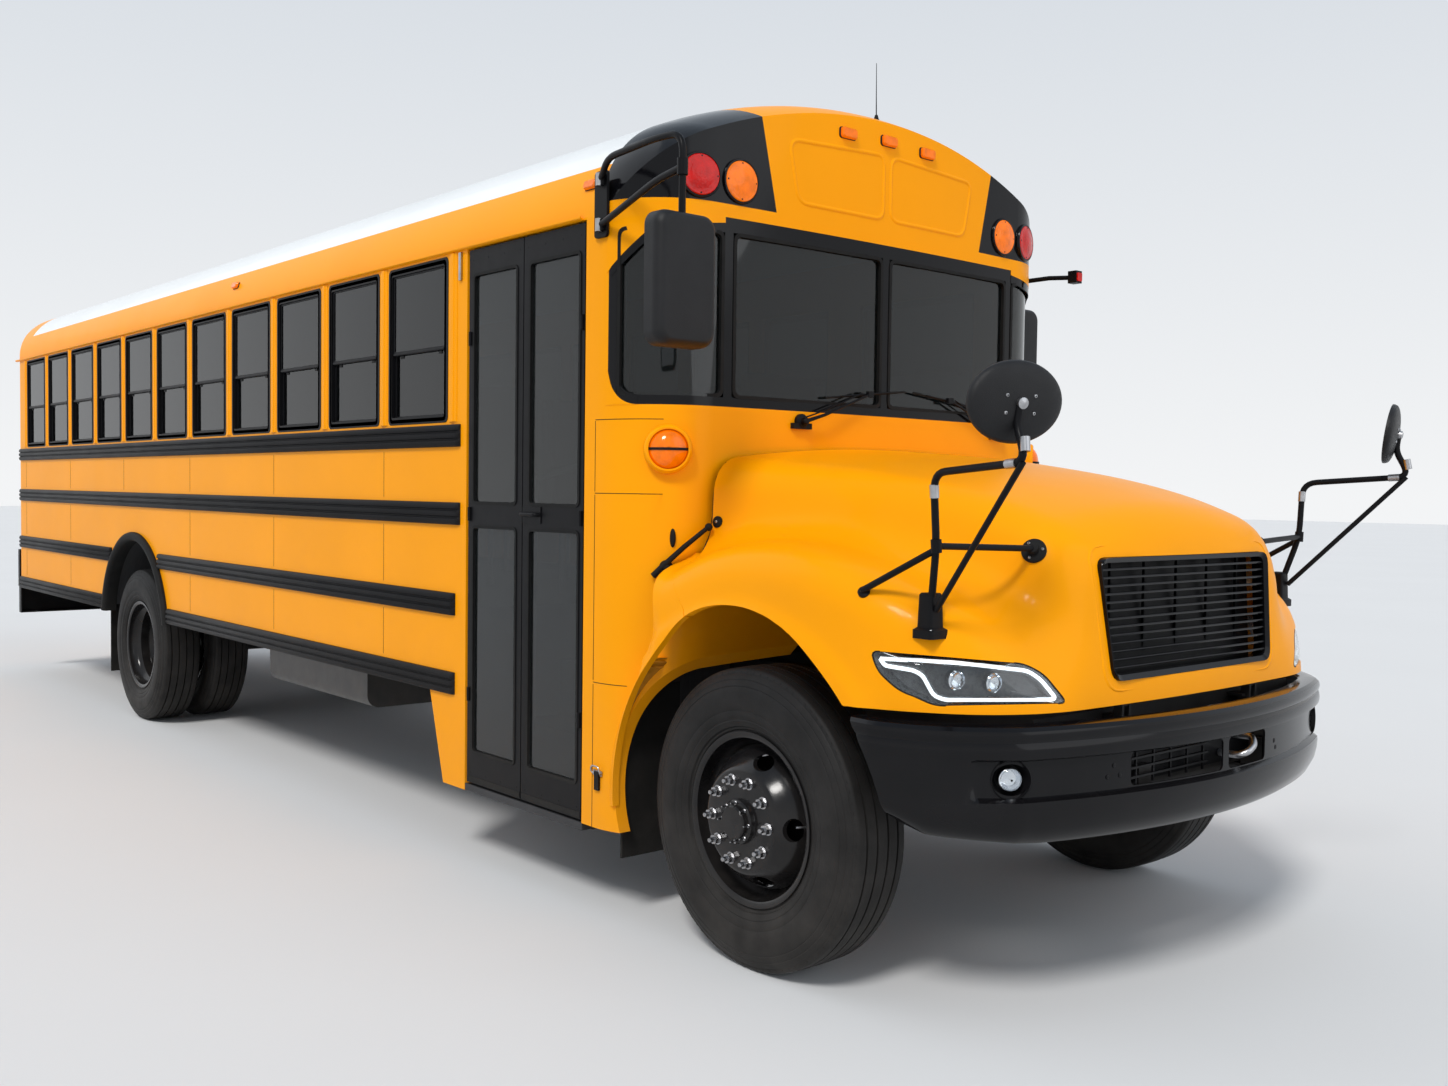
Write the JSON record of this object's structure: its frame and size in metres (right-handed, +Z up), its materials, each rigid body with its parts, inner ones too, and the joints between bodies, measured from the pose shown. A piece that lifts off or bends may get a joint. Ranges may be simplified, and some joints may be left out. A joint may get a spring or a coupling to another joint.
{
  "type": "school bus",
  "caption": "Conventional school bus with forward tilting hood, folding-out entrance leaves, swinging stop arm, rear emergency door and steered front wheels.",
  "frame": {"origin": "centre of the bounding box in X and Y, on the ground in Z", "axes": "+X towards the front, +Y towards the driver's (left) side, +Z up"},
  "size_m": [10.8325, 2.936, 3.4698],
  "materials": {
    "body_yellow": "gloss",
    "roof_white": "satin",
    "gloss_black": "gloss",
    "black_trim": "satin",
    "tinted_glass": "gloss",
    "black_rubber": "matte",
    "floor_vinyl": "matte",
    "sign_red": "satin",
    "lamp_clear": "gloss",
    "lamp_red": "gloss",
    "lamp_amber": "gloss",
    "seat_vinyl": "satin",
    "dash_plastic": "matte",
    "chassis_black": "satin",
    "engine_iron": "matte",
    "tank_metal": "satin",
    "exhaust_steel": "satin",
    "wheel_black": "gloss",
    "tyre_rubber": "matte"
  },
  "bodies": {
    "bus": {"side_walls": "body_yellow", "roof_coves": "body_yellow", "front_cap": "body_yellow", "rear_wall": "body_yellow", "cowl": "body_yellow", "roof": "roof_white", "cap_lamp_panels": "gloss_black", "windshield_frame": "gloss_black", "front_bumper": "gloss_black", "window_frames": "black_trim", "rub_rails": "black_trim", "side_mirrors": "black_trim", "rear_bumper": "black_trim", "fixed_glass": "tinted_glass", "arch_rubbers": "black_rubber", "mud_flaps": "black_rubber", "floor": "floor_vinyl", "wheel_boxes": "floor_vinyl", "red_lamps": "lamp_red", "amber_lamps": "lamp_amber", "seats": "seat_vinyl", "dashboard": "dash_plastic", "frame_rails": "chassis_black", "front_axle": "chassis_black", "rear_axle": "chassis_black", "powertrain": "engine_iron", "fuel_tank": "tank_metal", "exhaust": "exhaust_steel", "antenna": "black_trim"},
    "hood_assembly": {"hood": "body_yellow", "grille": "gloss_black", "headlamps": "lamp_clear", "hood_mirrors": "black_trim"},
    "door_front": {"door_leaf_front": "black_trim", "door_glass_front": "tinted_glass"},
    "door_rear": {"door_leaf_rear": "black_trim", "door_glass_rear": "tinted_glass"},
    "emergency_exit": {"emergency_door": "body_yellow", "emergency_glass": "tinted_glass"},
    "stop_sign": {"stop_arm": "sign_red"},
    "steer_left": {"knuckle_left": "chassis_black"},
    "steer_right": {"knuckle_right": "chassis_black"},
    "front_wheel_left": {"wheel_front_left": "wheel_black", "tyre_front_left": "tyre_rubber"},
    "front_wheel_right": {"wheel_front_right": "wheel_black", "tyre_front_right": "tyre_rubber"},
    "rear_wheel_left": {"wheels_rear_left": "wheel_black", "tyres_rear_left": "tyre_rubber"},
    "rear_wheel_right": {"wheels_rear_right": "wheel_black", "tyres_rear_right": "tyre_rubber"}
  },
  "joints": [
    {"name": "hood_tilt", "type": "hinge", "parent": "bus", "child": "hood_assembly", "pos_m": [5.197, 0, 0.985], "axis": [0, 1, 0], "range_deg": [0, 62]},
    {"name": "door_front_swing", "type": "hinge", "parent": "bus", "child": "door_front", "pos_m": [3.286, -1.196, 1.5], "axis": [0, 0, 1], "range_deg": [0, 88]},
    {"name": "door_rear_swing", "type": "hinge", "parent": "bus", "child": "door_rear", "pos_m": [2.452, -1.196, 1.5], "axis": [0, 0, -1], "range_deg": [0, 88]},
    {"name": "emergency_door_swing", "type": "hinge", "parent": "bus", "child": "emergency_exit", "pos_m": [-5.356, -0.34, 1.9], "axis": [0, 0, 1], "range_deg": [0, 110]},
    {"name": "stop_arm_swing", "type": "hinge", "parent": "bus", "child": "stop_sign", "pos_m": [2.45, 1.253, 1.7], "axis": [0, 0, -1], "range_deg": [0, 90]},
    {"name": "steer_left_turn", "type": "hinge", "parent": "bus", "child": "steer_left", "pos_m": [4.205, 0.88, 0.525], "axis": [0, 0, 1], "range_deg": [-35, 35]},
    {"name": "steer_right_turn", "type": "hinge", "parent": "bus", "child": "steer_right", "pos_m": [4.205, -0.88, 0.525], "axis": [0, 0, 1], "range_deg": [-35, 35]},
    {"name": "front_wheel_left_spin", "type": "hinge", "parent": "steer_left", "child": "front_wheel_left", "pos_m": [4.205, 1.023, 0.525], "axis": [0, 1, 0], "continuous": true},
    {"name": "front_wheel_right_spin", "type": "hinge", "parent": "steer_right", "child": "front_wheel_right", "pos_m": [4.205, -1.023, 0.525], "axis": [0, 1, 0], "continuous": true},
    {"name": "rear_wheel_left_spin", "type": "hinge", "parent": "bus", "child": "rear_wheel_left", "pos_m": [-2.145, 1.067, 0.525], "axis": [0, 1, 0], "continuous": true},
    {"name": "rear_wheel_right_spin", "type": "hinge", "parent": "bus", "child": "rear_wheel_right", "pos_m": [-2.145, -1.067, 0.525], "axis": [0, 1, 0], "continuous": true}
  ],
  "couplings": [
    {"joint": "door_rear_swing", "follows": "door_front_swing", "ratio": 1},
    {"joint": "steer_right_turn", "follows": "steer_left_turn", "ratio": 1}
  ]
}
